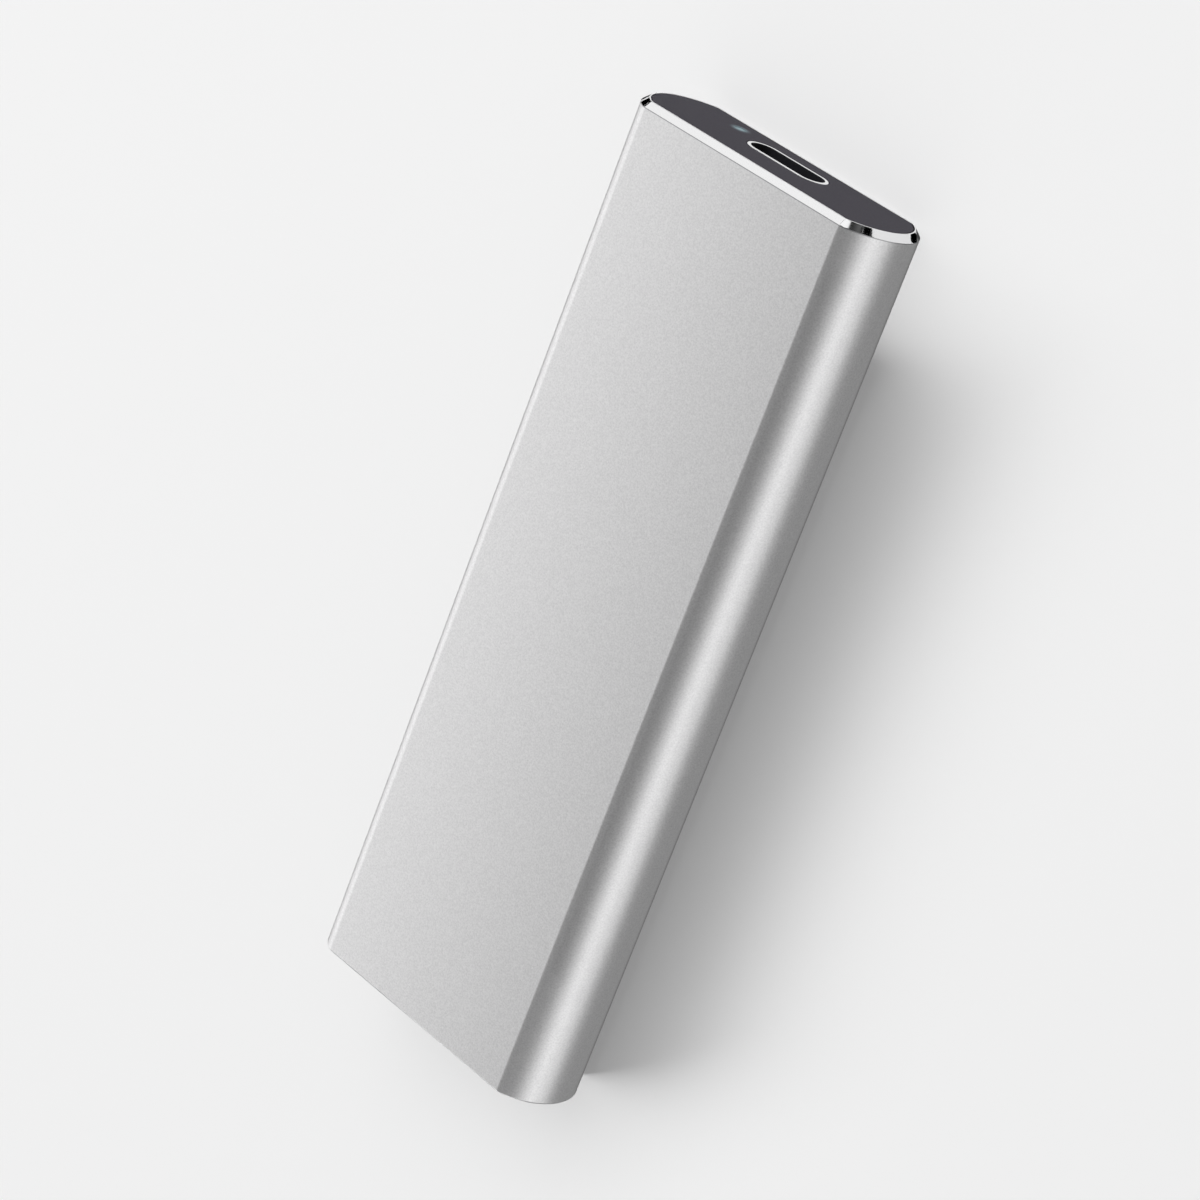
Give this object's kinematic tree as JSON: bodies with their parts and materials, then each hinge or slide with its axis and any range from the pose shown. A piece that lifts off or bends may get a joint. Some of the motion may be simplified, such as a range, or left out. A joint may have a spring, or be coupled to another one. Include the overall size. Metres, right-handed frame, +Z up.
{
  "type": "portable solid state drive",
  "caption": "Slim pocket drive in a silver aluminium sleeve with round sides, a bevelled mouth, dark end caps, an oval data port and a small status lamp.",
  "frame": {"origin": "middle of the flat face the drive lies on, below the middle of its length and width", "axes": "+X across the width, +Y along the length from the port end to the plain end, +Z up through the thickness towards the face the picture shows"},
  "size_m": [0.031, 0.088, 0.0105],
  "materials": {
    "anodised_aluminium": "satin",
    "dark_plastic": "satin",
    "port_steel": "polished",
    "black_resin": "matte",
    "gold_plate": "polished",
    "tinned_metal": "satin",
    "board_laminate": "satin",
    "card_laminate": "satin",
    "ferrite": "matte",
    "capacitor_ceramic": "matte",
    "lens_plastic": "gloss",
    "lamp_white": "satin",
    "pad_silicone": "matte",
    "film_plastic": "satin",
    "turned_brass": "satin",
    "screw_steel": "satin"
  },
  "bodies": {
    "root": {"sleeve": "anodised_aluminium", "port_cap": "dark_plastic", "rear_cap": "dark_plastic", "light_pipe": "lens_plastic", "bridge_board": "board_laminate", "port_shell": "port_steel", "port_tongue": "black_resin", "port_contacts": "gold_plate", "port_tails": "tinned_metal", "status_led": "lamp_white", "bridge_chip": "black_resin", "firmware_chip": "black_resin", "power_chip": "black_resin", "power_inductor": "ferrite", "clock_crystal": "tinned_metal", "board_capacitors": "capacitor_ceramic", "board_resistors": "ferrite", "card_socket": "black_resin", "socket_tails": "tinned_metal", "card_board": "card_laminate", "drive_controller": "black_resin", "card_power_chip": "black_resin", "flash_package_1": "black_resin", "flash_package_2": "black_resin", "card_capacitors": "capacitor_ceramic", "card_standoff": "turned_brass", "card_screw": "screw_steel", "thermal_pad": "pad_silicone", "insulating_film": "film_plastic"}
  },
  "joints": []
}
